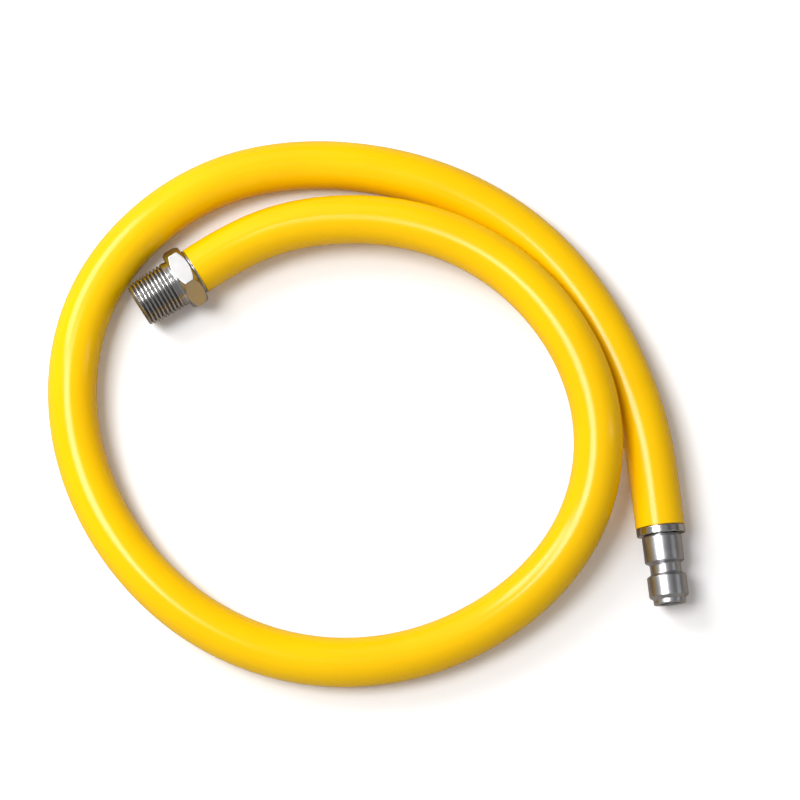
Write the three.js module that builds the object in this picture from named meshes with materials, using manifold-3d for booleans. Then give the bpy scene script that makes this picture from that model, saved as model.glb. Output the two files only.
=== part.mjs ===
// A flexible gas hose lying in one and a third loose turns, its first run leaning on the last.
// A corrugated steel liner and a wire braid run inside a plastic cover. One end carries a
// nipple with a tapered pipe thread, the other a quick release plug. Millimetres, +Z up.
import * as THREE from 'three';
import { NURBSCurve } from 'three/addons/curves/NURBSCurve.js';
import { mergeVertices } from 'three/addons/utils/BufferGeometryUtils.js';
import Module from 'manifold-3d';

// Clearance between pieces that seat on each other
const fitGap = 0.3;

// Hose: diameter over the cover, and the wall of each layer from the outside in
const hoseOuter = 21.5;
const coverWall = 1.3;
const sleeveWall = 0.6;
const braidWall = 0.5;
const corrugationDepth = 1.25;
const hoseSides = 12;
const hoseSteps = 56;

// End collars: a sleeve under the cover, closed by a rim that the cover butts against and
// that lies a little inside the cover's surface
const collarRimInset = 0.1;
const collarChamfer = 0.35;
const sleeveLength = 9;
const nippleRimWidth = 0.8;
const plugRimWidth = 3.2;

// Tails of both fittings, pushed into the liner
const tailLength = 10;
const tailWall = 1.15;
const tailChamfer = 0.4;

// Nipple: half inch tapered pipe thread, measured over its crests
const gaugeDiameter = 20.955;
const gaugeLength = 8.2;
const threadTaper = 1 / 16;
const threadLength = 18.7;
const threadLead = 1.1;
const neckDiameter = 21.2;
const neckLength = 1.6;
const nippleBore = 13;
const nippleBoreDepth = 22;
const boreStepLength = 2.5;
const boreMouthChamfer = 0.6;

// Nipple: hexagon, chamfered at both ends down to its flats
const hexAcrossFlats = 26;
const hexLength = 7.8;
const hexChamferAngle = THREE.MathUtils.degToRad(43);
const hexTurn = THREE.MathUtils.degToRad(-22);

// Quick release plug: neck, barrel, catch groove for the socket's balls, ring and nose
const plugNeckDiameter = 15.8;
const plugNeckLength = 0.5;
const barrelDiameter = 17.3;
const barrelLength = 11.1;
const barrelEdge = 0.5;
const grooveDiameter = 13.5;
const grooveLength = 4.1;
const grooveSlope = 1.2;
const ringLength = 8.7;
const ringChamfer = 1.2;
const noseDiameter = 14.1;
const noseLength = 2.3;
const noseRadius = 0.5;
const plugBore = 9.6;

// Facets round the turned pieces
const collarFacets = 40;
const nippleFacets = 48;
const hexBlankFacets = 72;
const plugFacets = 40;

// Radii that follow from the layers
const coverBoreRadius = hoseOuter / 2 - coverWall;
const sleeveRadius = coverBoreRadius - fitGap;
const sleeveBoreRadius = sleeveRadius - sleeveWall;
const braidRadius = sleeveBoreRadius - fitGap;
const braidBoreRadius = braidRadius - braidWall;
const linerRadius = braidBoreRadius - fitGap;
const linerBoreRadius = linerRadius - corrugationDepth;
const tailRadius = linerBoreRadius - fitGap;
const tailBoreRadius = tailRadius - tailWall;
const lipBoreRadius = tailRadius + fitGap;

// Route of the hose's centre line, from the nipple to the plug. The first three points and
// the last three lie in line, so the hose is straight inside its collars. The first run
// climbs onto the last one, leans on it and comes down to the floor again.
const route = [
  [-76.05, 62.4, 14.1],
  [-67.60, 67.75, 14.27],
  [-59.16, 73.1, 14.44],
  [-35.1, 83.9, 16.4],
  [6.4, 86.6, 19.6],
  [50.8, 73.0, 22.6],
  [87.3, 38.7, 24.8],
  [105.0, -7.4, 24.1],
  [96.3, -54.7, 17.4],
  [62.6, -90.9, 11.7],
  [15.5, -111.7, 10.8],
  [-35.5, -111.5, 10.8],
  [-81.6, -90.2, 10.8],
  [-115.7, -51.6, 10.8],
  [-132.6, -4.2, 10.8],
  [-128.2, 45.3, 10.8],
  [-101.9, 83.8, 10.8],
  [-61.7, 109.3, 10.8],
  [-10.3, 113.9, 10.8],
  [41.3, 101.2, 10.8],
  [83.2, 71.6, 10.8],
  [108.1, 32.9, 10.8],
  [123.0, -5.5, 10.8],
  [126.88, -38.48, 10.8],
  [127.61, -44.94, 10.8],
  [128.35, -51.4, 10.8],
];

// Colours and finishes
const yellowPlastic = new THREE.MeshStandardMaterial({ color: 0xf4c400, roughness: 0.28, metalness: 0 });
const stainlessWire = new THREE.MeshStandardMaterial({ color: 0xb4b4b2, roughness: 0.4, metalness: 1 });
const stainlessSheet = new THREE.MeshStandardMaterial({ color: 0xc2c2c0, roughness: 0.3, metalness: 1 });
const platedSteel = new THREE.MeshStandardMaterial({ color: 0xb8b6b4, roughness: 0.32, metalness: 1 });
const collarSteel = new THREE.MeshStandardMaterial({ color: 0xc6c4c0, roughness: 0.25, metalness: 1 });
const turnedSteel = new THREE.MeshStandardMaterial({ color: 0xa6a6aa, roughness: 0.27, metalness: 1 });

const wasm = await Module();
wasm.setup();

// A cubic curve with even knots that starts and ends on its outer points
function hoseLine() {
  const degree = 3;
  const points = route.map(([x, y, z]) => new THREE.Vector4(x, y, z, 1));
  const spans = points.length - degree;
  const knots = [];
  for (let i = -degree; i <= spans + degree; i += 1) {
    knots.push(THREE.MathUtils.clamp(i / spans, 0, 1));
  }
  return new NURBSCurve(degree, knots, points);
}

// A regular polygon about the centre line, with its first corner on the shape's X axis
function polygon(path, cornerRadius) {
  for (let i = 0; i < hoseSides; i += 1) {
    const angle = (2 * Math.PI * i) / hoseSides;
    const x = cornerRadius * Math.cos(angle);
    const y = cornerRadius * Math.sin(angle);
    if (i === 0) path.moveTo(x, y);
    else path.lineTo(x, y);
  }
  path.closePath();
  return path;
}

// A faceted tube along the hose. Outside, the corners lie on the true circle; inside, the
// flats touch it, so a round piece of the stated size passes.
function hoseTube(line, outerRadius, boreRadius) {
  const section = polygon(new THREE.Shape(), outerRadius);
  section.holes.push(polygon(new THREE.Path(), boreRadius / Math.cos(Math.PI / hoseSides)));
  return new THREE.ExtrudeGeometry(section, { steps: hoseSteps, extrudePath: line });
}

// A turned piece about +Y from an outline of [radius, height] corners, solid on its axis when
// the outline starts and ends there
function turnedSolid(outline, facets) {
  const points = outline.map(([radius, height]) => new THREE.Vector2(radius, height));
  return new THREE.LatheGeometry(points, facets);
}

// A turned ring, whose outline closes on its first corner
function turned(outline, facets) {
  return turnedSolid([...outline, outline[0]], facets);
}

// From a closed three.js geometry to a solid that can be joined and cut
function toSolid(geometry) {
  const bare = geometry.clone();
  bare.deleteAttribute('normal');
  bare.deleteAttribute('uv');
  const merged = mergeVertices(bare, 1e-4);
  const mesh = new wasm.Mesh({
    numProp: 3,
    vertProperties: new Float32Array(merged.attributes.position.array),
    triVerts: new Uint32Array(merged.index.array),
  });
  mesh.merge();
  return new wasm.Manifold(mesh);
}

// And back to a three.js geometry
function toGeometry(solid) {
  const mesh = solid.getMesh();
  const geometry = new THREE.BufferGeometry();
  geometry.setAttribute('position', new THREE.BufferAttribute(new Float32Array(mesh.vertProperties), 3));
  geometry.setIndex(new THREE.BufferAttribute(new Uint32Array(mesh.triVerts), 1));
  geometry.computeVertexNormals();
  return geometry;
}

// The collar: a sleeve from under the cover up to a chamfered rim, whose lip closes over the
// ends of the braid and the liner and leaves a hole for the fitting's tail
function collarGeometry(rimWidth) {
  const rimRadius = hoseOuter / 2 - collarRimInset;
  const rimTop = fitGap + rimWidth;
  return turned([
    [sleeveBoreRadius, -sleeveLength],
    [sleeveRadius - collarChamfer, -sleeveLength],
    [sleeveRadius, -sleeveLength + collarChamfer],
    [sleeveRadius, fitGap],
    [rimRadius, fitGap],
    [rimRadius, rimTop - collarChamfer],
    [rimRadius - collarChamfer, rimTop],
    [lipBoreRadius, rimTop],
    [lipBoreRadius, fitGap],
    [sleeveBoreRadius, fitGap],
  ], collarFacets);
}

// The hexagon: a six sided bar cut by a turned blank whose ends are coned down to the flats,
// which leaves each flat its rounded, lens shaped ends
function hexagonSolid(base) {
  const flatRadius = hexAcrossFlats / 2;
  const cornerRadius = flatRadius / Math.cos(Math.PI / 6);
  const bar = new THREE.CylinderGeometry(cornerRadius, cornerRadius, hexLength, 6);
  bar.rotateY(hexTurn);
  bar.translate(0, base + hexLength / 2, 0);
  const spare = 0.5;
  const blankRadius = cornerRadius + spare;
  const coneHeight = (blankRadius - flatRadius) * Math.tan(hexChamferAngle);
  const blank = turnedSolid([
    [0, base],
    [flatRadius, base],
    [blankRadius, base + coneHeight],
    [blankRadius, base + hexLength - coneHeight],
    [flatRadius, base + hexLength],
    [0, base + hexLength],
  ], hexBlankFacets);
  return toSolid(bar).intersect(toSolid(blank));
}

// The nipple: tail, hexagon, plain neck and the tapered shank of the thread, bored through in
// two steps. Its hexagon starts above the collar's rim.
function nippleGeometry() {
  const base = fitGap + nippleRimWidth + fitGap;
  const hexTop = base + hexLength;
  const threadBase = hexTop + neckLength;
  const tip = threadBase + threadLength;
  const tipRadius = (gaugeDiameter - gaugeLength * threadTaper) / 2;
  const threadRadius = (fromTip) => tipRadius + (fromTip * threadTaper) / 2;
  const neckRadius = neckDiameter / 2;
  const overlap = hexLength / 2;
  const shank = turnedSolid([
    [0, -tailLength],
    [tailRadius - tailChamfer, -tailLength],
    [tailRadius, -tailLength + tailChamfer],
    [tailRadius, base + overlap],
    [neckRadius, base + overlap],
    [neckRadius, threadBase],
    [threadRadius(threadLength), threadBase + (threadRadius(threadLength) - neckRadius)],
    [threadRadius(threadLead), tip - threadLead],
    [threadRadius(threadLead) - threadLead, tip],
    [0, tip],
  ], nippleFacets);
  const boreRadius = nippleBore / 2;
  const past = 1;
  const bore = turnedSolid([
    [0, -tailLength - past],
    [tailBoreRadius, -tailLength - past],
    [tailBoreRadius, tip - nippleBoreDepth - boreStepLength],
    [boreRadius, tip - nippleBoreDepth],
    [boreRadius, tip - boreMouthChamfer],
    [boreRadius + boreMouthChamfer + past, tip + past],
    [0, tip + past],
  ], nippleFacets);
  return toGeometry(hexagonSolid(base).add(toSolid(shank)).subtract(toSolid(bore)));
}

// The quick release plug: tail, neck, barrel, catch groove with sloped sides, ring and a
// rounded nose, all turned in one outline with its bore
function plugGeometry() {
  const base = fitGap + plugRimWidth + fitGap;
  const neckRadius = plugNeckDiameter / 2;
  const barrelRadius = barrelDiameter / 2;
  const grooveRadius = grooveDiameter / 2;
  const noseTopRadius = noseDiameter / 2;
  const barrelBase = base + plugNeckLength;
  const barrelTop = barrelBase + barrelLength;
  const grooveBase = barrelTop + grooveSlope;
  const grooveTop = grooveBase + grooveLength;
  const ringBase = grooveTop + grooveSlope;
  const ringTop = ringBase + ringLength;
  const tip = ringTop + ringChamfer + noseLength;
  const boreRadius = plugBore / 2;
  const noseArc = [0, 30, 60, 90].map((degrees) => {
    const angle = THREE.MathUtils.degToRad(degrees);
    return [
      noseTopRadius - noseRadius + noseRadius * Math.cos(angle),
      tip - noseRadius + noseRadius * Math.sin(angle),
    ];
  });
  return turned([
    [tailBoreRadius, -tailLength],
    [tailRadius - tailChamfer, -tailLength],
    [tailRadius, -tailLength + tailChamfer],
    [tailRadius, base],
    [neckRadius, base],
    [neckRadius, barrelBase],
    [barrelRadius - barrelEdge, barrelBase],
    [barrelRadius, barrelBase + barrelEdge],
    [barrelRadius, barrelTop],
    [grooveRadius, grooveBase],
    [grooveRadius, grooveTop],
    [barrelRadius, ringBase],
    [barrelRadius, ringTop],
    [noseTopRadius, ringTop + ringChamfer],
    ...noseArc,
    [boreRadius + noseRadius, tip],
    [boreRadius, tip - noseRadius],
    [boreRadius, base],
    [tailBoreRadius, base - (boreRadius - tailBoreRadius)],
  ], plugFacets);
}

// A named mesh in its own finish
function part(name, geometry, material) {
  const mesh = new THREE.Mesh(geometry, material);
  mesh.name = name;
  return mesh;
}

// A group at one end of the hose, with +Y pointing out of it and +X level
function endGroup(point, outward, parts) {
  const level = new THREE.Vector3().crossVectors(outward, new THREE.Vector3(0, 0, 1)).normalize();
  const upward = new THREE.Vector3().crossVectors(level, outward);
  const group = new THREE.Group();
  group.quaternion.setFromRotationMatrix(new THREE.Matrix4().makeBasis(level, outward, upward));
  group.position.copy(point);
  group.add(...parts);
  return group;
}

const line = hoseLine();

const hose = new THREE.Group();
hose.add(part('outer_cover', hoseTube(line, hoseOuter / 2, coverBoreRadius), yellowPlastic));
hose.add(part('wire_braid', hoseTube(line, braidRadius, braidBoreRadius), stainlessWire));
hose.add(part('corrugated_liner', hoseTube(line, linerRadius, linerBoreRadius), stainlessSheet));

hose.add(endGroup(line.getPoint(0), line.getTangent(0).negate(), [
  part('nipple_end_collar', collarGeometry(nippleRimWidth), collarSteel),
  part('threaded_nipple', nippleGeometry(), platedSteel),
]));

hose.add(endGroup(line.getPoint(1), line.getTangent(1), [
  part('plug_end_collar', collarGeometry(plugRimWidth), collarSteel),
  part('quick_release_plug', plugGeometry(), turnedSteel),
]));

export default hose;
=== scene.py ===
"""A flexible gas hose on a pale floor: its surfaces, finishes, light and camera.

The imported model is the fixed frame. Each of its solids is stood in for by a finer surface of
the same form: the round cover, the wire braid, the corrugated liner, the turned collars, the
nipple with its cut thread and the quick release plug. Lengths are in metres, +Z is up.
"""

import math

import bpy
import numpy as np
from bpy.props import FloatProperty, FloatVectorProperty, IntProperty, PointerProperty
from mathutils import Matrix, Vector


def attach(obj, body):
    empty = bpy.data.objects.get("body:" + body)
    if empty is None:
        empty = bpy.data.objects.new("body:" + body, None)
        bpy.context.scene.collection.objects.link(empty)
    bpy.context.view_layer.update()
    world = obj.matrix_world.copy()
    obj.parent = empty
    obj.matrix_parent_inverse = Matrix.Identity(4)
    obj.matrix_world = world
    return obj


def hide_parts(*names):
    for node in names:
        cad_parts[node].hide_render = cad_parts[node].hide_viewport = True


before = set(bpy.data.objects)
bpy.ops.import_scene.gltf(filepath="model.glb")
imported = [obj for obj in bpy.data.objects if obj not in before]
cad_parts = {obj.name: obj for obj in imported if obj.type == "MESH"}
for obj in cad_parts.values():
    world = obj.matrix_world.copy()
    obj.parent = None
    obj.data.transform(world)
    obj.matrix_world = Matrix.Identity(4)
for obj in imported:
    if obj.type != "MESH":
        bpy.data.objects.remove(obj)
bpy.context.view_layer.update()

bl_info = {
    "name": "Flexible Gas Hose",
    "version": (1, 0, 0),
    "blender": (4, 5, 0),
    "location": "3D View > Sidebar > Gas Hose",
    "description": "Builds the surfaces and finishes of a flexible gas hose on its packed model",
    "category": "Object",
}

BODY = "root"
MM = 0.001
FULL_TURN = 2.0 * math.pi

# The hose's centre line, from the nipple to the plug, as in the solids
ROUTE = MM * np.array([
    (-76.05, 62.4, 14.1), (-67.6, 67.75, 14.27), (-59.16, 73.1, 14.44), (-35.1, 83.9, 16.4),
    (6.4, 86.6, 19.6), (50.8, 73.0, 22.6), (87.3, 38.7, 24.8), (105.0, -7.4, 24.1),
    (96.3, -54.7, 17.4), (62.6, -90.9, 11.7), (15.5, -111.7, 10.8), (-35.5, -111.5, 10.8),
    (-81.6, -90.2, 10.8), (-115.7, -51.6, 10.8), (-132.6, -4.2, 10.8), (-128.2, 45.3, 10.8),
    (-101.9, 83.8, 10.8), (-61.7, 109.3, 10.8), (-10.3, 113.9, 10.8), (41.3, 101.2, 10.8),
    (83.2, 71.6, 10.8), (108.1, 32.9, 10.8), (123.0, -5.5, 10.8), (126.88, -38.48, 10.8),
    (127.61, -44.94, 10.8), (128.35, -51.4, 10.8),
])


def length_property(name, description, default):
    """A size in metres that a user may change."""
    return FloatProperty(name=name, description=description, default=default, min=0.0,
                         precision=5, subtype="DISTANCE", unit="LENGTH")


def colour_property(name, description, default):
    """A linear colour that a user may change."""
    return FloatVectorProperty(name=name, description=description, default=default, size=3,
                               min=0.0, max=1.0, subtype="COLOR")


def sides_property(name, default):
    """How many faces go round a piece, which a user may change."""
    return IntProperty(name=name, description="Faces round it", default=default, min=12, max=240)


def share_property(name, description, default, most=1.0):
    """A number from 0 to MOST that a user may change."""
    return FloatProperty(name=name, description=description, default=default, min=0.0,
                         max=most, subtype="FACTOR")


def power_property(name, description, default):
    """A lamp's power in watts that a user may change."""
    return FloatProperty(name=name, description=description, default=default, min=0.0,
                         unit="POWER")


# The hose's line


def spline(points, count):
    """COUNT points of the cubic curve over POINTS, with even knots clamped at both ends.

    Each basis function is the sum of its two neighbours one degree lower, one rising and one
    falling linearly over its own knots. The curve is the basis times the points.
    """
    degree = 3
    spans = len(points) - degree
    knots = np.clip(np.arange(-degree, spans + degree + 1) / spans, 0.0, 1.0)
    at = np.linspace(0.0, 1.0, count)[:, None]
    basis = ((knots[:-1] <= at) & (at < knots[1:])).astype(float)
    basis[-1, spans + degree - 1] = 1.0
    for order in range(1, degree + 1):
        width = knots[order:] - knots[:-order]
        share = np.divide(at - knots[:-order], width, out=np.zeros((count, len(width))),
                          where=width > 0)
        rest = np.where(width > 0, 1.0 - share, 0.0)
        basis = share[:, :-1] * basis[:, :-1] + rest[:, 1:] * basis[:, 1:]
    return basis @ points


LINE_SAMPLES = 20001
LINE_POINTS = spline(ROUTE, LINE_SAMPLES)
LINE_AT = np.concatenate(
    [[0.0], np.cumsum(np.linalg.norm(np.diff(LINE_POINTS, axis=0), axis=1))])
HOSE_LENGTH = LINE_AT[-1]


def on_line(along):
    """The line's points at the distances ALONG from the nipple, read between dense samples."""
    return np.stack([np.interp(along, LINE_AT, LINE_POINTS[:, axis]) for axis in range(3)], -1)


def cross_axes(forward):
    """The level side and the top of cross sections that face FORWARD: the side is forward
    crossed with straight up, the top is the side crossed with forward, both of length one."""
    side = np.cross(forward, (0.0, 0.0, 1.0))
    side /= np.linalg.norm(side, axis=-1, keepdims=True)
    return side, np.cross(side, forward)


def end_axes(outward_sign):
    """Origin, outward axis, level side and top at one end of the hose: the plug's end for 1,
    the nipple's end for -1, where the line runs the other way."""
    near, far = (-2, -1) if outward_sign > 0 else (1, 0)
    outward = LINE_POINTS[far] - LINE_POINTS[near]
    outward = outward / np.linalg.norm(outward)
    side, top = cross_axes(outward)
    return LINE_POINTS[far], outward, side, top


# Surfaces as grids


def turns(columns):
    """COLUMNS even angles round an axis. They start at the underside, where the seam is."""
    return math.pi + FULL_TURN * np.arange(columns) / columns


def round_hose(along, radius, angles):
    """A grid round the hose's line: the point at ALONG, plus RADIUS times the sine of the
    angle sideways and its cosine upwards."""
    reach = 0.25 * MM
    ahead = on_line(np.minimum(along + reach, HOSE_LENGTH))
    forward = ahead - on_line(np.maximum(along - reach, 0.0))
    side, top = cross_axes(forward / np.linalg.norm(forward, axis=1, keepdims=True))
    outwards = (np.sin(angles)[None, :, None] * side[:, None]
                + np.cos(angles)[None, :, None] * top[:, None])
    return on_line(along)[:, None] + radius[:, None, None] * outwards


def round_axis(axes, radius, height, angles):
    """A grid round one end's axis: the origin plus HEIGHT along the outward axis, plus RADIUS
    times the sine of the angle sideways and its cosine upwards."""
    origin, outward, side, top = axes
    outwards = np.sin(angles)[:, None] * side + np.cos(angles)[:, None] * top
    return origin + height[..., None] * outward + radius[..., None] * outwards


def rounded(outline, radius, steps=4):
    """Corners of closed outlines (..., corner, 2) made round.

    Each corner becomes a squared curve from a point RADIUS before it to one RADIUS after it,
    and at most 0.45 of a side away: (1-t)^2 before + 2t(1-t) corner + t^2 after. One point
    more on either side keeps the flats next to it flat.
    """
    before = np.roll(outline, 1, axis=-2) - outline
    after = np.roll(outline, -1, axis=-2) - outline
    pieces = []
    for way in (before, after):
        size = np.linalg.norm(way, axis=-1, keepdims=True)
        pieces.append(way / size * np.minimum(radius, 0.45 * size))
    start, stop = (outline + piece for piece in pieces)
    t = np.linspace(0.0, 1.0, steps + 1)[:, None]
    arc = ((1 - t) ** 2 * start[..., None, :] + 2 * t * (1 - t) * outline[..., None, :]
           + t ** 2 * stop[..., None, :])
    lead = outline[..., None, :] + 1.1 * pieces[0][..., None, :]
    tail = outline[..., None, :] + 1.1 * pieces[1][..., None, :]
    arc = np.concatenate([lead, arc, tail], axis=-2)
    return arc.reshape(*outline.shape[:-2], -1, 2)


def stationed(outline, step):
    """A closed outline with points added at every STEP of its length, its corners kept."""
    loop = np.concatenate([outline, outline[:1]])
    at = np.concatenate([[0.0], np.cumsum(np.linalg.norm(np.diff(loop, axis=0), axis=1))])
    wanted = np.unique(np.round(np.concatenate([at[:-1], np.arange(0.0, at[-1], step)]), 7))
    return np.stack([np.interp(wanted, at, loop[:, 0]), np.interp(wanted, at, loop[:, 1])], -1)


def tube_outline(diameter, wall):
    """A tube's wall over the whole hose, each corner its radius and its place on the line."""
    outside, inside = diameter / 2, diameter / 2 - wall
    return np.array([(outside, 0.0), (outside, HOSE_LENGTH),
                     (inside, HOSE_LENGTH), (inside, 0.0)])


def shell(name, points, finish, node, masks=()):
    """Puts a grid (row, column, 3) that closes both ways into a mesh of four sided faces.

    The UV map holds the turn round the axis, 0 to 1, and the distance along the outline in
    metres. The volume is the sum of the corner products of all faces; where it comes out
    negative, the faces are turned to point outwards. MASKS are (name, value per row and
    column) pairs. The piece takes the node's place.
    """
    rows, columns = points.shape[:2]
    row, column = (grid.ravel() for grid in np.mgrid[0:rows, 0:columns])
    row_after, column_after = (row + 1) % rows, (column + 1) % columns
    faces = np.stack([row * columns + column, row * columns + column_after,
                      row_after * columns + column_after, row_after * columns + column], -1)
    steps = np.linalg.norm(np.roll(points, -1, 0)[:, 0] - points[:, 0], axis=-1)
    length = np.concatenate([[0.0], np.cumsum(steps)])
    turn = np.stack([column, column + 1, column + 1, column], -1) / columns
    uv = np.stack([turn, length[np.stack([row, row, row + 1, row + 1], -1)]], -1)
    a, b, c, d = (points.reshape(-1, 3)[faces[:, k]] for k in range(4))
    volume = np.sum(a * np.cross(b, c)) + np.sum(a * np.cross(c, d))
    if volume < 0:
        faces, uv = faces[:, ::-1], uv[:, ::-1]
    mesh = bpy.data.meshes.new(name)
    mesh.from_pydata(points.reshape(-1, 3).tolist(), [], faces.tolist())
    mesh.uv_layers.new(name="turn_and_length").data.foreach_set("uv", uv.ravel().copy())
    for mask, values in masks:
        layer = mesh.attributes.new(mask, "FLOAT", "POINT")
        layer.data.foreach_set("value", np.broadcast_to(values, (rows, columns)).ravel().copy())
    mesh.shade_smooth()
    mesh.materials.append(finish.material)
    mesh.update()
    piece = bpy.data.objects.new(name, mesh)
    bpy.context.scene.collection.objects.link(piece)
    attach(piece, BODY)
    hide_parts(node)
    return piece


# Finishes


class Value:
    """A socket of a node tree that can be used in sums."""

    def __init__(self, nodes, socket):
        self.nodes = nodes
        self.socket = socket

    def __add__(self, other):
        return self.nodes.math("ADD", self, other)

    def __radd__(self, other):
        return self.nodes.math("ADD", other, self)

    def __sub__(self, other):
        return self.nodes.math("SUBTRACT", self, other)

    def __rsub__(self, other):
        return self.nodes.math("SUBTRACT", other, self)

    def __mul__(self, other):
        return self.nodes.math("MULTIPLY", self, other)

    def __rmul__(self, other):
        return self.nodes.math("MULTIPLY", other, self)

    def between(self, low, high, first=0.0, last=1.0):
        """FIRST below LOW, LAST above HIGH, and a smooth step from one to the other."""
        sockets = {0: self, 1: low, 2: high, 3: first, 4: last}
        return self.nodes.node("ShaderNodeMapRange", {"interpolation_type": "SMOOTHSTEP"}, sockets)


class Nodes:
    """The node tree of a material or a world."""

    def __init__(self, owner):
        owner.use_nodes = True
        self.tree = owner.node_tree
        self.tree.nodes.clear()

    def node(self, kind, settings, sockets, output=0):
        """Makes a node of KIND, with its SETTINGS first and then its SOCKETS, by name or
        number, from numbers, colours or values. Returns one of its outputs as a value."""
        made = self.tree.nodes.new(kind)
        for setting, value in settings.items():
            setattr(made, setting, value)
        self.feed(made, sockets)
        return Value(self, made.outputs[output])

    def feed(self, made, sockets):
        """Links or sets the sockets of the node MADE."""
        for key, value in sockets.items():
            if isinstance(value, Value):
                self.tree.links.new(value.socket, made.inputs[key])
            else:
                made.inputs[key].default_value = value

    def math(self, operation, *terms):
        """The Math node OPERATION on TERMS, values or numbers in order."""
        return self.node("ShaderNodeMath", {"operation": operation}, dict(enumerate(terms)))

    def light_path(self, kind):
        """1 for rays of KIND, such as "Is Camera Ray", and 0 for others."""
        return self.node("ShaderNodeLightPath", {}, {}, kind)


class Finish(Nodes):
    """One material: a Principled shader and the nodes that feed it."""

    def __init__(self, name):
        self.material = bpy.data.materials.new(name)
        super().__init__(self.material)
        shader = self.node("ShaderNodeBsdfPrincipled", {}, {})
        self.shader = shader.socket.node
        self.feed(self.tree.nodes.new("ShaderNodeOutputMaterial"), {0: shader})

    def surface(self, **sockets):
        """Feeds the shader: Base_Color=..., Roughness=... and so on."""
        self.feed(self.shader, {key.replace("_", " "): value for key, value in sockets.items()})

    def place(self):
        """The object's own coordinates in metres."""
        return self.node("ShaderNodeTexCoord", {}, {}, "Object")

    def turn_and_length(self):
        """The turn round the axis, 0 to 1, and the distance along the outline in metres."""
        both = self.node("ShaderNodeUVMap", {"uv_map": "turn_and_length"}, {})
        split = self.node("ShaderNodeSeparateXYZ", {}, {0: both})
        return split, Value(self, split.socket.node.outputs[1])

    def vector(self, x, y, z=0.0):
        """Three values or numbers as one vector."""
        return self.node("ShaderNodeCombineXYZ", {}, {0: x, 1: y, 2: z})

    def noise(self, vector, scale, detail=2.0, roughness=0.5):
        """Smooth noise about 0.5, SCALE lumps to the unit."""
        sockets = {"Vector": vector, "Scale": scale, "Detail": detail, "Roughness": roughness}
        return self.node("ShaderNodeTexNoise", {}, sockets)

    def mask(self, name):
        """The piece's own attribute NAME."""
        return self.node("ShaderNodeAttribute", {"attribute_name": name}, {}, "Fac")

    def mixed(self, share, colour, other):
        """COLOUR where SHARE is 0, OTHER where it is 1. A Mix node has its two colours in the
        sockets 6 and 7 and gives their mixture at 2."""
        sockets = {0: share, 6: with_alpha(colour), 7: with_alpha(other)}
        return self.node("ShaderNodeMix", {"data_type": "RGBA"}, sockets, 2)

    def bumped(self, height, distance):
        """The normal of a relief DISTANCE metres high where HEIGHT goes from 0 to 1."""
        sockets = {"Strength": 1.0, "Distance": distance, "Height": height}
        return self.node("ShaderNodeBump", {}, sockets)


def with_alpha(colour):
    """A colour socket's value: links stay as they are, three numbers get an alpha of one."""
    return colour if isinstance(colour, Value) else (*colour, 1.0)


def scaled(colour, factor):
    """A colour made lighter or darker, at most white."""
    return tuple(min(1.0, channel * factor) for channel in colour)


def tinted(colour, *factors):
    """A colour with each of its channels made darker by its own factor."""
    return tuple(channel * factor for channel, factor in zip(colour, factors))


def plastic_finish(settings):
    """Glossy extruded plastic: the colour drifts a little towards orange, long faint
    extrusion lines follow the hose, and the gloss varies in soft patches."""
    finish = Finish("yellow_pvc")
    place = finish.place()
    turn, length = finish.turn_and_length()
    angle = turn * FULL_TURN
    around = finish.vector(finish.math("SINE", angle), finish.math("COSINE", angle), length * 4.0)
    drift = finish.noise(place, scale=22.0, detail=3.0)
    lines = finish.noise(around, scale=14.0, detail=4.0, roughness=0.6)
    specks = finish.noise(place, scale=900.0)
    share = (drift * 0.7 + lines * 0.3).between(0.35, 0.65)
    orange = tinted(settings.cover_colour, 0.97, 0.93, 0.8)
    finish.surface(
        Base_Color=finish.mixed(share, settings.cover_colour, orange),
        Roughness=settings.cover_roughness + (drift - 0.5) * 0.08 + (specks - 0.5) * 0.03,
        IOR=1.5,
        Specular_IOR_Level=0.25,
        Normal=finish.bumped(lines * 0.8 + specks * 0.2, 0.012 * MM),
    )
    return finish


def turned_finish(name, colour, roughness, mark_depth):
    """Turned steel: rings round the axis from the tool, coarser feed marks over them, a
    slightly uneven tint and a few lighter rubbed places."""
    finish = Finish(name)
    place = finish.place()
    turn, length = finish.turn_and_length()
    ring_place = finish.vector(turn * 0.4, length * 5200.0)
    rings = finish.noise(ring_place, scale=1.0, detail=3.0, roughness=0.65)
    feed = finish.noise(finish.vector(turn * 0.2, length * 1300.0), scale=1.0, detail=1.0)
    tint = finish.noise(place, scale=160.0, detail=3.0)
    rubbed = finish.noise(place, scale=420.0, detail=4.0, roughness=0.6).between(0.55, 0.75)
    base = finish.mixed(tint.between(0.35, 0.65), scaled(colour, 0.94), scaled(colour, 1.05))
    finish.surface(
        Base_Color=finish.mixed(rubbed * 0.3, base, scaled(colour, 1.3)),
        Metallic=1.0,
        Roughness=roughness + (rings - 0.5) * 0.1 + (tint - 0.5) * 0.06 - rubbed * 0.03,
        Normal=finish.bumped(rings * 0.6 + feed * 0.4, mark_depth),
    )
    return finish


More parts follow.
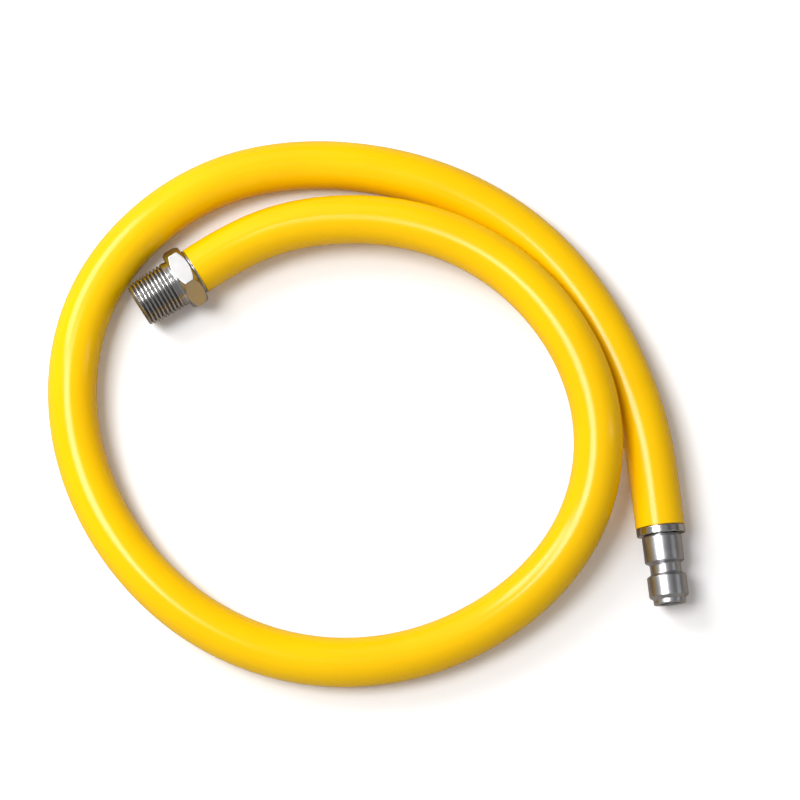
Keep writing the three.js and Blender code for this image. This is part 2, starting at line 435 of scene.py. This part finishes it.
def nipple_finish(settings):
    """Plated steel: turning rings on the round parts, lengthwise draw lines on the hexagon's
    flats, thread roots painted darker as shade, and a mottled plating."""
    finish = Finish("plated_steel")
    turn, length = finish.turn_and_length()
    flat, root = finish.mask("flat"), finish.mask("root")
    ring_place = finish.vector(turn * 1.5, length * 4200.0)
    drawn_place = finish.vector(turn * 420.0, length * 160.0)
    rings = finish.noise(ring_place, scale=1.0, detail=3.0, roughness=0.6)
    drawn = finish.noise(drawn_place, scale=1.0, detail=3.0, roughness=0.6)
    mottle = finish.noise(finish.place(), scale=330.0, detail=4.0, roughness=0.6)
    marks = rings * (1.0 - flat) + drawn * flat
    colour = settings.nipple_colour
    plating = finish.mixed(mottle.between(0.35, 0.65), scaled(colour, 0.97), scaled(colour, 1.03))
    uneven = settings.nipple_roughness + (marks - 0.5) * 0.06 + (mottle - 0.5) * 0.03
    finish.surface(
        # Painted shade: the thread roots are painted darker, towards 0.4 of the colour
        Base_Color=finish.mixed(root.between(0.3, 0.9) * 0.9, plating, scaled(colour, 0.4)),
        Metallic=1.0,
        Roughness=uneven + root * 0.15 + flat * 0.06,
        Normal=finish.bumped(marks * 0.8 + mottle * 0.2, 0.0008 * MM),
    )
    return finish


def braid_finish(settings):
    """Braided wire: two sets of flat strands cross over and under each other. Along a strand
    the height is half a cosine wave, highest where it lies on top; across it, it is the sine
    of the place in the strand, and each strand shows its single wires as fine ridges."""
    finish = Finish("braided_wire")
    turn, length = finish.turn_and_length()
    around = turn * settings.braid_strands
    forward = length * (1.0 / settings.braid_strand_pitch)
    one, other = around + forward, around - forward

    def strand(across, lengthwise, lag):
        """The height of the strands that run one way."""
        place = finish.math("FRACT", across)
        wave = lengthwise + finish.math("FLOOR", across) + lag
        lift = finish.math("COSINE", wave * math.pi) * 0.5 + 0.5
        profile = finish.math("SINE", place * math.pi)
        wires = finish.math("ABSOLUTE", finish.math("SINE", place * (math.pi * 12.0)))
        return profile * (lift * 0.8 + 0.2) + wires * 0.12

    height = finish.math("MAXIMUM", strand(one, other, -0.5), strand(other, one, 0.5))
    grain = finish.noise(finish.place(), scale=2400.0)
    # Painted light and shade: the wire is painted down to 0.35 of its colour in the low places of
    # the weave, as shade, and up to 1.15 on the strands' tops, as painted light
    finish.surface(
        Base_Color=finish.mixed(height.between(0.15, 0.7), scaled(settings.braid_colour, 0.35),
                                scaled(settings.braid_colour, 1.15)),
        Metallic=1.0,
        Roughness=0.42 - height * 0.14 + (grain - 0.5) * 0.1,
        Normal=finish.bumped(height, 0.35 * MM),
    )
    return finish


def liner_finish(settings):
    """Rolled stainless sheet: faint rolling rings, a tint that is straw coloured in places
    from heat, and valleys painted darker as shade."""
    finish = Finish("rolled_sheet")
    turn, length = finish.turn_and_length()
    valley = finish.mask("valley")
    rings = finish.noise(finish.vector(turn * 2.0, length * 3800.0), scale=1.0, detail=3.0)
    tint = finish.noise(finish.place(), scale=70.0, detail=3.0)
    straw = tinted(settings.liner_colour, 1.0, 0.94, 0.82)
    sheet = finish.mixed(tint.between(0.4, 0.7), settings.liner_colour, straw)
    finish.surface(
        # Painted shade: the corrugation valleys are painted darker, towards half the sheet's colour
        Base_Color=finish.mixed(valley * 0.5, sheet, scaled(settings.liner_colour, 0.5)),
        Metallic=1.0,
        Roughness=0.27 + (rings - 0.5) * 0.14 + valley * 0.1,
        Normal=finish.bumped(rings, 0.008 * MM),
    )
    return finish


def floor_finish(settings):
    """A pale matt floor with hardly visible clouds. It is near white to the eye, a little
    darker where it lights the hose; where metal mirrors it, it is painted darker and warm as shade."""
    finish = Finish("pale_floor")
    clouds = finish.noise(finish.place(), scale=3.0)
    pale = finish.mixed(clouds, settings.floor_colour, scaled(settings.floor_colour, 0.985))
    seen, mirrored = finish.light_path("Is Camera Ray"), finish.light_path("Is Glossy Ray")
    finish.surface(
        # Painted shade: mirrors see the floor in the darker, warm mirrored colour, as if it lay in
        # shadow and took the hose's warm bounce
        Base_Color=finish.mixed(mirrored, finish.mixed(seen, settings.lighting_floor, pale),
                                settings.mirrored_floor),
        Emission_Color=finish.mixed(seen, (0.0, 0.0, 0.0), settings.floor_haze),
        Emission_Strength=1.0,
        Roughness=0.85,
        Specular_IOR_Level=0.2,
    )
    return finish


# Sizes and colours


class HoseSettings(bpy.types.PropertyGroup):
    """The hose between its fittings."""

    cover_diameter: length_property("Cover diameter", "Over the plastic cover", 0.0215)
    cover_wall: length_property("Cover wall", "Thickness of the plastic cover", 0.0013)
    cover_edge: length_property("Cover edge", "Rounding at the cover's cut ends", 0.0003)
    cover_step: length_property("Cover step", "Between the cover's cross sections", 0.0025)
    cover_sides: sides_property("Cover sides", 56)
    cover_colour: colour_property("Cover colour", "The plastic's colour", (0.915, 0.545, 0.001))
    cover_roughness: share_property("Cover roughness", "Gloss of the plastic", 0.17)
    braid_diameter: length_property("Braid diameter", "Over the wire braid", 0.0165)
    braid_wall: length_property("Braid wall", "Thickness of the wire braid", 0.0005)
    braid_strands: IntProperty(name="Braid strands", description="Strands each way round",
                               default=24, min=8, max=48)
    braid_sides: sides_property("Braid sides", 48)
    braid_strand_pitch: length_property("Strand pitch", "Between strands along the hose", 0.0022)
    braid_step: length_property("Braid step", "Between the braid's cross sections", 0.004)
    braid_colour: colour_property("Braid colour", "The wire's colour", (0.55, 0.55, 0.54))
    liner_diameter: length_property("Liner diameter", "Over the corrugations", 0.0149)
    liner_bore: length_property("Liner bore", "Inside the corrugations", 0.0124)
    liner_pitch: length_property("Corrugation pitch", "From crest to crest", 0.005)
    liner_sides: sides_property("Liner sides", 28)
    liner_sheet: length_property("Liner sheet", "Thickness of the liner's sheet", 0.0003)
    liner_colour: colour_property("Liner colour", "The sheet's colour", (0.6, 0.6, 0.59))


class FittingSettings(bpy.types.PropertyGroup):
    """The collars, the nipple and the plug."""

    gap: length_property("Gap", "Clearance between seated pieces", 0.0003)
    edge: length_property("Edge", "Rounding of machined edges", 0.00022)
    collar_inset: length_property("Collar inset", "From the cover's surface in to the rim", 0.0001)
    collar_wall: length_property("Collar wall", "Thickness of a collar's sleeve", 0.0006)
    collar_sides: sides_property("Collar sides", 96)
    collar_sleeve: length_property("Collar sleeve", "How far it reaches under the cover", 0.009)
    nipple_rim: length_property("Nipple rim", "Width of the rim at the nipple", 0.0008)
    plug_rim: length_property("Plug rim", "Width of the rim at the plug", 0.0032)
    tail_length: length_property("Tail length", "How far a fitting's tail reaches in", 0.01)
    tail_diameter: length_property("Tail diameter", "Over a fitting's tail", 0.0118)
    tail_bore: length_property("Tail bore", "Inside a fitting's tail", 0.0095)
    hexagon_width: length_property("Across flats", "The hexagon over two flats", 0.026)
    hexagon_length: length_property("Hexagon length", "Along the nipple", 0.0078)
    hexagon_corner: length_property("Hexagon corner", "Rounding of the six corners", 0.00035)
    neck_diameter: length_property("Neck diameter", "Between hexagon and thread", 0.0212)
    neck_length: length_property("Neck length", "Between hexagon and thread", 0.0016)
    thread_length: length_property("Thread length", "From the neck to the tip", 0.0187)
    thread_gauge: length_property("Gauge diameter", "Over the crests at the gauge plane", 0.020955)
    gauge_length: length_property("Gauge length", "From the tip to the gauge plane", 0.0082)
    thread_pitch: length_property("Thread pitch", "From crest to crest", 0.001814)
    thread_depth: length_property("Thread depth", "From crest to root", 0.00108)
    crest_share: share_property("Crest share", "Blunt part of the thread's crests", 0.25, 0.8)
    tip_chamfer: length_property("Tip chamfer", "Length of the cone on the first thread", 0.0011)
    nipple_bore: length_property("Nipple bore", "Inside the nipple's tip", 0.013)
    nipple_bore_depth: length_property("Bore depth", "From the tip to the bore's step", 0.022)
    nipple_bore_step: length_property("Bore step", "Length of the step to the tail's bore", 0.0025)
    bore_mouth: length_property("Bore mouth", "Chamfer at the mouth of the nipple's bore", 0.0006)
    nipple_colour: colour_property("Nipple colour", "The plated steel's colour", (0.52, 0.51, 0.5))
    nipple_roughness: share_property("Nipple roughness", "Gloss of the plating", 0.2)
    plug_neck_diameter: length_property("Plug neck", "Between collar and barrel", 0.0158)
    plug_neck_length: length_property("Plug neck length", "Between collar and barrel", 0.0005)
    plug_sides: sides_property("Plug sides", 120)
    barrel_diameter: length_property("Barrel diameter", "Over the barrel and the ring", 0.0173)
    barrel_length: length_property("Barrel length", "From the neck to the catch groove", 0.0111)
    groove_diameter: length_property("Groove diameter", "At the bottom of the catch groove", 0.0135)
    groove_length: length_property("Groove length", "At the bottom of the catch groove", 0.0041)
    groove_slope: length_property("Groove slope", "Length of each of its two slopes", 0.0012)
    ring_length: length_property("Ring length", "From the groove to the nose's chamfer", 0.0087)
    ring_chamfer: length_property("Ring chamfer", "Length of the slope down to the nose", 0.0012)
    nose_diameter: length_property("Nose diameter", "Over the nose", 0.0141)
    nose_length: length_property("Nose length", "From the chamfer to the tip", 0.0023)
    plug_bore: length_property("Plug bore", "Inside the plug", 0.0096)
    collar_colour: colour_property("Collar colour", "The collars' colour", (0.6, 0.59, 0.57))
    plug_colour: colour_property("Plug colour", "The plug's colour", (0.5, 0.5, 0.51))
    collar_roughness: share_property("Collar roughness", "Gloss of the collars", 0.18)
    plug_roughness: share_property("Plug roughness", "Gloss of the plug", 0.31)


class StageSettings(bpy.types.PropertyGroup):
    """The floor and the light."""

    floor_colour: colour_property("Floor colour", "The floor's colour", (0.93, 0.93, 0.94))
    floor_haze: colour_property("Floor haze", "Least brightness of the floor's shadows",
                                (0.06, 0.05, 0.045))
    lighting_floor: colour_property("Lighting floor", "Its colour where it lights the hose",
                                    (0.74, 0.73, 0.72))
    # Painted shade: the floor seen in mirrors is darker and warm, standing in for the floor in the
    # fittings' shadows and the hose's warm bounce
    mirrored_floor: colour_property("Mirrored floor", "Its colour in mirrors",
                                    (0.34, 0.3, 0.26))
    floor_radius: length_property("Floor radius", "Half the floor's width", 12.0)
    key_power: power_property("Key power", "Power of the overhead lamp", 30.0)
    side_power: power_property("Side power", "Power of the lamp at the upper left", 15.5)
    strip_power: power_property("Strip power", "Power of the thin lamp at the right", 1.2)
    room_light: FloatProperty(name="Room light", description="Strength of the light from all round",
                              default=0.34, min=0.0)


# The pieces


class GASHOSE_OT_add_stage(bpy.types.Operator):
    """Adds the camera, the floor, the lamps and the surroundings"""

    bl_idname = "gashose.add_stage"
    bl_label = "Stage"

    camera_elevation = math.radians(80.0)
    camera_distance = 1.4
    camera_aim = Vector((0.0145, 0.0069, 0.0))
    camera_lens = 141.84
    sensor_width = 36.0
    view_end = 100.0

    key_place, key_size = (-0.85, 0.08, 1.9), (0.8, 0.9)
    side_place, side_size = (-1.0, 0.75, 1.1), (0.7, 0.7)
    strip_place, strip_size = (1.85, 0.15, 1.0), (0.1, 0.9)

    def execute(self, context):
        scene, settings = context.scene, context.scene.gashose_stage
        self.add_camera(scene)
        self.add_floor(scene, settings)
        self.add_lamp(scene, "key_lamp", self.key_place, self.key_size, settings.key_power)
        self.add_lamp(scene, "side_lamp", self.side_place, self.side_size, settings.side_power)
        self.add_lamp(scene, "strip_lamp", self.strip_place, self.strip_size, settings.strip_power)
        self.add_surroundings(scene, settings)
        return {"FINISHED"}

    def add_camera(self, scene):
        """Looks down along +Y at the place in the picture's middle."""
        camera = bpy.data.objects.new("camera", bpy.data.cameras.new("camera"))
        elevation = self.camera_elevation
        back = Vector((0.0, -math.cos(elevation), math.sin(elevation)))
        camera.location = self.camera_aim + self.camera_distance * back
        camera.rotation_euler = (math.pi / 2 - elevation, 0.0, 0.0)
        camera.data.sensor_fit = "HORIZONTAL"
        camera.data.sensor_width = self.sensor_width
        camera.data.lens = self.camera_lens
        camera.data.clip_end = self.view_end
        scene.collection.objects.link(camera)
        scene.camera = camera

    def add_floor(self, scene, settings):
        """A flat square under the hose."""
        half = settings.floor_radius
        mesh = bpy.data.meshes.new("floor")
        corners = [(-half, -half, 0.0), (half, -half, 0.0), (half, half, 0.0), (-half, half, 0.0)]
        mesh.from_pydata(corners, [], [(0, 1, 2, 3)])
        mesh.materials.append(floor_finish(settings).material)
        floor = bpy.data.objects.new("floor", mesh)
        scene.collection.objects.link(floor)

    def add_lamp(self, scene, name, place, size, power):
        """A rectangular soft lamp at PLACE that faces the hose."""
        lamp = bpy.data.objects.new(name, bpy.data.lights.new(name, "AREA"))
        lamp.data.shape = "RECTANGLE"
        lamp.data.size, lamp.data.size_y = size
        lamp.data.energy = power
        lamp.location = place
        lamp.rotation_euler = (-Vector(place)).to_track_quat("-Z", "Y").to_euler()
        scene.collection.objects.link(lamp)

    def add_surroundings(self, scene, settings):
        """Soft light from all round. Straight views see white. Mirrors see a dim room, dark
        towards the right and the back and lighter on the other sides, with one pale bluish
        panel overhead and one high up at the back left."""
        world = bpy.data.worlds.new("surroundings")
        scene.world = world
        nodes = Nodes(world)
        direction = nodes.node("ShaderNodeTexCoord", {}, {}, "Generated")

        def toward(x, y, z):
            """The cosine of the angle from the looked at direction to (X, Y, Z)."""
            product = {"operation": "DOT_PRODUCT"}
            sockets = {0: direction, 1: Vector((x, y, z)).normalized()}
            return nodes.node("ShaderNodeVectorMath", product, sockets, "Value")

        panel = toward(-0.42, 0.67, 0.62).between(0.86, 0.92, 0.0, 0.6)
        overhead = toward(-0.27, 0.0, 0.96).between(0.972, 0.99)
        room = toward(1.0, 0.9, 0.0).between(0.3, 0.6, 0.32, 0.11)
        mirrored = room + nodes.math("MAXIMUM", panel, overhead)
        straight = nodes.light_path("Is Camera Ray")
        # A Mix node has its share in socket 0 and its two numbers in 2 and 3
        strength = nodes.node("ShaderNodeMix", {}, {0: straight, 2: mirrored, 3: 1.1})
        light = nodes.node("ShaderNodeBackground", {}, {
            "Color": (1.0, 0.975, 0.95, 1.0), "Strength": settings.room_light})
        seen = nodes.node("ShaderNodeBackground", {}, {
            "Color": (0.96, 0.97, 1.0, 1.0), "Strength": strength})
        seen_by = nodes.math("MAXIMUM", straight, nodes.light_path("Is Glossy Ray"))
        seen_by = nodes.math("MAXIMUM", seen_by, nodes.light_path("Is Transmission Ray"))
        either = nodes.node("ShaderNodeMixShader", {}, {0: seen_by, 1: light, 2: seen})
        nodes.feed(nodes.tree.nodes.new("ShaderNodeOutputWorld"), {0: either})


class GASHOSE_OT_add_nipple(bpy.types.Operator):
    """Adds the nipple with its tail, hexagon, neck and tapered pipe thread"""

    bl_idname = "gashose.add_nipple"
    bl_label = "Threaded nipple"

    corner_turn = math.radians(-22.0)
    corner_sector = math.radians(60.0)
    chamfer_slope = math.tan(math.radians(43.0))
    cone_start = 0.06 * MM
    face_inset = 0.05 * MM
    tail_edge = 0.4 * MM
    end_face_width = 1.6 * MM
    bore_end = 0.6 * MM
    thread_stations = 231

    def execute(self, context):
        settings = context.scene.gashose_fittings
        base = settings.gap + settings.nipple_rim + settings.gap
        hexagon_top = base + settings.hexagon_length
        thread_base = hexagon_top + settings.neck_length
        tip = thread_base + settings.thread_length
        angles = self.angles()
        tail = self.tail_rows(settings, base)
        hexagon = self.hexagon_rows(settings, base, hexagon_top, angles)
        thread = self.thread_rows(settings, hexagon_top, thread_base, tip, angles)
        bore = self.bore_rows(settings, tip)
        grid = np.concatenate([np.broadcast_to(part, (len(part), len(angles), 2))
                               for part in (tail, hexagon, thread, bore)])
        thread_start = len(tail) + len(hexagon)
        flat = np.zeros((len(grid), 1))
        flat[len(tail):thread_start] = 1.0
        # The root mask is 0 at the crests and 1 at the thread's full depth; the finish paints shade
        # and adds roughness with it
        root = np.zeros(grid.shape[:2])
        cut = slice(thread_start, thread_start + len(thread))
        radius, height = grid[cut, :, 0], grid[cut, :, 1]
        depth = self.crest_radius(settings, tip, height) - radius
        root[cut] = np.clip(depth / settings.thread_depth, 0.0, 1.0)
        root[grid[..., 1] < thread_base] = 0.0
        points = round_axis(end_axes(-1), grid[..., 0], grid[..., 1], angles)
        shell("nipple_body", points, nipple_finish(settings), "threaded_nipple",
              (("flat", flat), ("root", root)))
        return {"FINISHED"}

    def angles(self):
        """Angles round the nipple, closer together at the hexagon's six corners."""
        close = np.radians([0.0, 0.4, 0.8, 1.4])
        wide = np.radians(np.linspace(3.0, 57.0, 16))
        sector = np.concatenate([close, wide, self.corner_sector - close[:0:-1]])
        sectors = sector + self.corner_sector * np.arange(6)[:, None]
        return self.corner_turn + sectors.ravel()

    def crest_radius(self, settings, tip, height):
        """Half the thread's diameter over its crests: it grows 1 in 32 from the tip down, and
        is half the gauge diameter at the gauge length from the tip."""
        return settings.thread_gauge / 2 + (tip - height - settings.gauge_length) / 32.0

    def tail_rows(self, settings, base):
        """The plain tail, from its bore's inner end out and up to the hexagon. Of the last
        corner only the first point is kept, because the hexagon goes on from there."""
        outline = np.array([
            (settings.tail_bore / 2, -settings.tail_length),
            (settings.tail_diameter / 2, -settings.tail_length),
            (settings.tail_diameter / 2, base),
        ])
        return rounded(outline, self.tail_edge)[:-6, None]

    def hexagon_rows(self, settings, base, top, angles):
        """The hexagon, row by row and angle by angle.

        Its radius is half the width over the cosine of the angle from the nearest flat's
        middle, and near a corner a small circle inside both flats. The cone of both chamfers
        starts at the flats' radius, so each column leaves it at its own height: how far its
        radius is past the flats' radius, times the chamfer's slope. Of the first and the last
        corner only the point next to the others is kept, because tail and neck join there.
        """
        flat, soft = settings.hexagon_width / 2, settings.hexagon_corner
        half = self.corner_sector / 2
        from_corner = np.abs((angles - self.corner_turn + half) % self.corner_sector - half)
        plain = flat / np.cos(half - from_corner)
        middle = (flat - soft) / math.cos(half)
        inside = np.maximum(soft ** 2 - (middle * np.sin(from_corner)) ** 2, 0.0)
        arc = middle * np.cos(from_corner) + np.sqrt(inside)
        limit = math.atan2(soft * math.sin(half), middle + soft * math.cos(half))
        radius = np.where(from_corner < limit, arc, plain)
        cone = (radius - flat) * self.chamfer_slope + self.cone_start
        face_edge = flat - self.face_inset
        # The two faces start a little outside the tail and the neck
        corners = [
            (settings.tail_diameter / 2 + 0.2 * MM, base),
            (face_edge, base),
            (radius, base + cone),
            (radius, top - cone),
            (face_edge, top),
            (settings.neck_diameter / 2 + 0.1 * MM, top),
        ]
        outline = np.empty((len(angles), len(corners), 2))
        for number, corner in enumerate(corners):
            outline[:, number, 0], outline[:, number, 1] = corner
        return np.swapaxes(rounded(outline, settings.edge * 0.6, 3), 0, 1)[5:-5]

    def thread_rows(self, settings, hexagon_top, thread_base, tip, angles):
        """The neck and the thread.

        The groove's place at a height and an angle is the height in pitches plus the turn.
        That winds as a left hand screw, and the real thread is a right hand one. With w the
        distance from the blunt crest's edge, 0 there and 1 at the root, its depth is
        w * w * (3 - 2 * w) of the full one, which rounds crest and root. It fades in the same
        way over the first pitch from the neck, and a cone cuts the tip's crests.
        """
        neck, chamfer = settings.neck_diameter / 2, settings.tip_chamfer
        neck_heights = hexagon_top + np.array([0.05, 0.4, 1.0]) * MM
        plain = np.stack([np.full(3, neck), neck_heights], -1)[:, None]
        height = np.linspace(thread_base, tip, self.thread_stations)[:, None]
        crest = self.crest_radius(settings, tip, height)
        place = (height - tip) / settings.thread_pitch + angles / FULL_TURN
        groove = 1.0 - np.abs((place + 0.5) % 1.0 - 0.5) * 2.0
        groove = np.clip((groove - settings.crest_share) / (1.0 - settings.crest_share), 0.0, 1.0)
        groove = groove * groove * (3.0 - 2.0 * groove)
        fade = np.clip((height - thread_base) / settings.thread_pitch, 0.0, 1.0)
        fade = fade * fade * (3.0 - 2.0 * fade)
        top = np.minimum(crest, neck + (height - thread_base))
        cone = self.crest_radius(settings, tip, tip - chamfer) - (height - tip + chamfer)
        top = np.minimum(top, cone)
        radius = np.minimum(top, crest - settings.thread_depth * groove * fade)
        rows = np.stack([radius, np.broadcast_to(height, radius.shape)], -1)
        return np.concatenate([np.broadcast_to(plain, (3, len(angles), 2)), rows])

    def bore_rows(self, settings, tip):
        """The end face and the bore, from the tip back to the tail's inner end. Of the first
        and the last corner only the point next to the others is kept, as in the hexagon."""
        bore, mouth = settings.nipple_bore / 2, settings.bore_mouth
        step_top = tip - settings.nipple_bore_depth
        outline = np.array([
            (bore + mouth + self.end_face_width, tip),
            (bore + mouth, tip),
            (bore, tip - mouth),
            (bore, step_top),
            (settings.tail_bore / 2, step_top - settings.nipple_bore_step),
            (settings.tail_bore / 2, -settings.tail_length + self.bore_end),
        ])
        return rounded(outline, settings.edge)[6:-6, None]


class GASHOSE_OT_add_plug(bpy.types.Operator):
    """Adds the quick release plug with its tail, barrel, catch groove, ring and nose"""

    bl_idname = "gashose.add_plug"
    bl_label = "Quick release plug"

    def execute(self, context):
        settings = context.scene.gashose_fittings
        base = settings.gap + settings.plug_rim + settings.gap
        neck, barrel = settings.plug_neck_diameter / 2, settings.barrel_diameter / 2
        groove, nose = settings.groove_diameter / 2, settings.nose_diameter / 2
        bore = settings.plug_bore / 2
        barrel_base = base + settings.plug_neck_length
        barrel_top = barrel_base + settings.barrel_length
        groove_base = barrel_top + settings.groove_slope
        groove_top = groove_base + settings.groove_length
        ring_base = groove_top + settings.groove_slope
        ring_top = ring_base + settings.ring_length
        nose_base = ring_top + settings.ring_chamfer
        tip = nose_base + settings.nose_length
        step = bore - settings.tail_bore / 2
        # Each corner's radius and height in metres, and its rounding in millimetres
        corners = np.array([
            (settings.tail_bore / 2, -settings.tail_length, 0.2),
            (settings.tail_diameter / 2, -settings.tail_length, 0.5),
            (settings.tail_diameter / 2, base, 0.1),
            (neck, base, 0.2),
            (neck, barrel_base, 0.15),
            (barrel, barrel_base, 0.6),
            (barrel, barrel_top, 0.35),
            (groove, groove_base, 0.5),
            (groove, groove_top, 0.5),
            (barrel, ring_base, 0.35),
            (barrel, ring_top, 0.3),
            (nose, nose_base, 0.25),
            (nose, tip, 0.6),
            (bore, tip, 0.5),
            (bore, base, 0.1),
            (settings.tail_bore / 2, base - step, 0.1),
        ])
        outline = rounded(corners[:, :2], corners[:, 2:] * MM, 5)[:, None]
        angles = turns(settings.plug_sides)
        points = round_axis(end_axes(1), outline[..., 0], outline[..., 1], angles)
        finish = turned_finish("turned_steel", settings.plug_colour, settings.plug_roughness,
                               mark_depth=0.001 * MM)
        shell("plug_body", points, finish, "quick_release_plug")
        return {"FINISHED"}


class GASHOSE_OT_add_collars(bpy.types.Operator):
    """Adds the two collars that close the ends of the braid and the liner"""

    bl_idname = "gashose.add_collars"
    bl_label = "End collars"

    def execute(self, context):
        settings = context.scene.gashose_fittings
        hose = context.scene.gashose_hose
        finish = turned_finish("bright_collar", settings.collar_colour, settings.collar_roughness,
                               mark_depth=0.0012 * MM)
        gap = settings.gap
        rim = hose.cover_diameter / 2 - settings.collar_inset
        sleeve = hose.cover_diameter / 2 - hose.cover_wall - gap
        bore = sleeve - settings.collar_wall
        lip = settings.tail_diameter / 2 + gap
        for name, node, way, width in (
            ("nipple_collar", "nipple_end_collar", -1, settings.nipple_rim),
            ("plug_collar", "plug_end_collar", 1, settings.plug_rim),
        ):
            top = gap + width
            # Each corner's radius and height in metres, and its rounding in millimetres
            corners = np.array([
                (bore, -settings.collar_sleeve, 0.15),
                (sleeve, -settings.collar_sleeve, 0.3),
                (sleeve, gap, 0.1),
                (rim, gap, 0.3),
                (rim, top, 0.4),
                (lip, top, 0.2),
                (lip, gap, 0.15),
                (bore, gap, 0.1),
            ])
            outline = rounded(corners[:, :2], corners[:, 2:] * MM)[:, None]
            angles = turns(settings.collar_sides)
            points = round_axis(end_axes(way), outline[..., 0], outline[..., 1], angles)
            shell(name, points, finish, node)
        return {"FINISHED"}


class GASHOSE_OT_add_liner(bpy.types.Operator):
    """Adds the corrugated liner that holds the gas"""

    bl_idname = "gashose.add_liner"
    bl_label = "Corrugated liner"

    wave_stations = 6

    def execute(self, context):
        settings = context.scene.gashose_hose
        crest = settings.liner_diameter / 2
        wall = settings.liner_sheet
        depth = crest - wall - settings.liner_bore / 2
        count = round(HOSE_LENGTH / settings.liner_pitch)
        out = np.linspace(0.0, HOSE_LENGTH, self.wave_stations * count + 1)
        wave = 0.5 - 0.5 * np.cos(FULL_TURN * count * out / HOSE_LENGTH)
        outer = crest - depth * (1.0 - wave)
        along = np.concatenate([out, out[::-1]])
        radius = np.concatenate([outer, outer[::-1] - wall])
        # The valley mask paints shade into the corrugations and adds roughness there
        valley = np.concatenate([1.0 - wave, 1.0 - wave[::-1]])[:, None]
        points = round_hose(along, radius, turns(settings.liner_sides))
        shell("hose_liner", points, liner_finish(settings), "corrugated_liner",
              (("valley", valley),))
        return {"FINISHED"}


class GASHOSE_OT_add_braid(bpy.types.Operator):
    """Adds the wire braid between the liner and the cover"""

    bl_idname = "gashose.add_braid"
    bl_label = "Wire braid"

    def execute(self, context):
        settings = context.scene.gashose_hose
        outline = tube_outline(settings.braid_diameter, settings.braid_wall)
        outline = stationed(outline, settings.braid_step)
        points = round_hose(outline[:, 1], outline[:, 0], turns(settings.braid_sides))
        shell("hose_braid", points, braid_finish(settings), "wire_braid")
        return {"FINISHED"}


class GASHOSE_OT_add_cover(bpy.types.Operator):
    """Adds the plastic cover, the outside of the hose over its whole length"""

    bl_idname = "gashose.add_cover"
    bl_label = "Plastic cover"

    path_points = 400

    def execute(self, context):
        settings = context.scene.gashose_hose
        outline = tube_outline(settings.cover_diameter, settings.cover_wall)
        outline = stationed(rounded(outline, settings.cover_edge), settings.cover_step)
        points = round_hose(outline[:, 1], outline[:, 0], turns(settings.cover_sides))
        cover = shell("hose_cover", points, plastic_finish(settings),
                      "outer_cover")
        return {"FINISHED"}


class GASHOSE_PT_panel(bpy.types.Panel):
    """Lists the hose's pieces and their sizes"""

    bl_idname = "GASHOSE_PT_panel"
    bl_label = "Flexible gas hose"
    bl_space_type = "VIEW_3D"
    bl_region_type = "UI"
    bl_category = "Gas Hose"

    def draw(self, context):
        for operator in OPERATORS:
            self.layout.operator(operator.bl_idname)
        for group in (context.scene.gashose_hose, context.scene.gashose_fittings,
                      context.scene.gashose_stage):
            box = self.layout.box()
            for name in group.__annotations__:
                box.prop(group, name)


OPERATORS = (
    GASHOSE_OT_add_stage,
    GASHOSE_OT_add_nipple,
    GASHOSE_OT_add_plug,
    GASHOSE_OT_add_collars,
    GASHOSE_OT_add_liner,
    GASHOSE_OT_add_braid,
    GASHOSE_OT_add_cover,
)
CLASSES = (HoseSettings, FittingSettings, StageSettings, *OPERATORS, GASHOSE_PT_panel)


def register():
    for cls in CLASSES:
        bpy.utils.register_class(cls)
    bpy.types.Scene.gashose_hose = PointerProperty(type=HoseSettings)
    bpy.types.Scene.gashose_fittings = PointerProperty(type=FittingSettings)
    bpy.types.Scene.gashose_stage = PointerProperty(type=StageSettings)


def unregister():
    del bpy.types.Scene.gashose_stage
    del bpy.types.Scene.gashose_fittings
    del bpy.types.Scene.gashose_hose
    for cls in reversed(CLASSES):
        bpy.utils.unregister_class(cls)


def main():
    register()
    bpy.context.scene.view_settings.view_transform = "Standard"
    bpy.ops.gashose.add_stage()
    bpy.ops.gashose.add_nipple()
    bpy.ops.gashose.add_plug()
    bpy.ops.gashose.add_collars()
    bpy.ops.gashose.add_liner()
    bpy.ops.gashose.add_braid()
    bpy.ops.gashose.add_cover()


if __name__ == "__main__":
    main()
